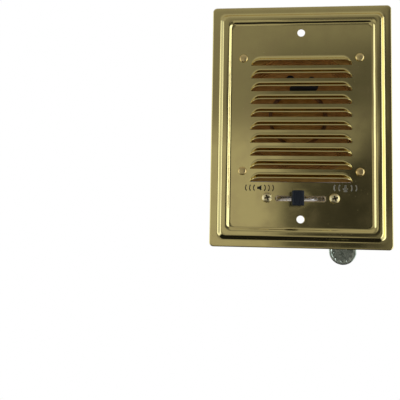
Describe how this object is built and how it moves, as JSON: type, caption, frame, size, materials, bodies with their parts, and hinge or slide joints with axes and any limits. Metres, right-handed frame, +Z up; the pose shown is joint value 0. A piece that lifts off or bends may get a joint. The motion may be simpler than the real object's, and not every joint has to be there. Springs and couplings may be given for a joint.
{
  "type": "door intercom panel",
  "caption": "Gold louvred wall plate of an outdoor intercom station, with a small loudspeaker behind it and a spring-return listen and talk lever in a slot.",
  "frame": {"origin": "midway between the two fixing holes, on the back face of the recessed panel", "axes": "+X to the right seen from the front, +Y into the wall, +Z up"},
  "size_m": [0.1296, 0.0567, 0.1887],
  "materials": {
    "gold_plate": "satin",
    "zinc": "satin",
    "zinc_ear": "matte",
    "plated_steel": "polished",
    "gold_hardware": "gloss",
    "black_knob": "gloss",
    "mark_enamel": "satin",
    "phenolic": "satin",
    "cone_paper": "matte",
    "cap_paper": "matte",
    "surround_paper": "matte",
    "spider_cloth": "matte",
    "gasket_card": "matte",
    "former_paper": "matte",
    "copper": "satin",
    "alnico": "matte",
    "tinned": "satin",
    "bronze": "satin",
    "spring_steel": "gloss",
    "tinsel": "satin",
    "wire_red": "satin",
    "wire_yellow": "satin",
    "wire_black": "satin",
    "wire_green": "satin"
  },
  "bodies": {
    "panel": {"face_plate": "gold_plate", "mounting_ear": "zinc_ear", "listen_mark": "mark_enamel", "talk_mark": "mark_enamel", "speaker_studs": "gold_hardware", "stud_washers": "zinc", "stud_nuts": "zinc", "speaker_gasket": "gasket_card", "speaker_basket": "zinc", "cone_surround": "surround_paper", "spider": "spider_cloth", "top_plate": "zinc", "magnet_yoke": "zinc", "pole_piece": "zinc", "magnet_slug": "alnico", "speaker_terminal_strip": "phenolic", "speaker_lugs": "tinned", "strip_rivet": "gold_hardware", "tinsel_leads": "tinsel", "terminal_board": "phenolic", "board_spacers": "zinc", "terminal_plates": "tinned", "terminal_screws": "gold_hardware", "switch_frame": "plated_steel", "switch_screws": "gold_hardware", "switch_pivot": "plated_steel", "switch_wafer": "phenolic", "wafer_posts": "zinc", "wafer_clips": "bronze", "return_spring": "spring_steel", "wire_listen": "wire_yellow", "wire_common": "wire_black", "wire_talk": "wire_red", "wire_speaker": "wire_green"},
    "lever": {"lever_arm": "spring_steel", "lever_knob": "black_knob", "rotor_hub": "phenolic", "rotor_wiper": "bronze"},
    "cone": {"speaker_cone": "cone_paper", "dust_cap": "cap_paper", "coil_former": "former_paper", "voice_coil": "copper"}
  },
  "joints": [
    {"name": "lever_swing", "type": "hinge", "parent": "panel", "child": "lever", "pos_m": [0, 0.03, -0.0535], "axis": [0, 0, 1], "range_deg": [-9.8, 19.2], "stiffness_Nm_per_rad": 0.12, "deforming": ["return_spring"]},
    {"name": "cone_travel", "type": "slide", "parent": "panel", "child": "cone", "axis": [0, -1, 0], "range_m": [-0.001, 0.001], "stiffness_N_per_m": 1500, "deforming": ["cone_surround", "spider", "tinsel_leads"]}
  ]
}
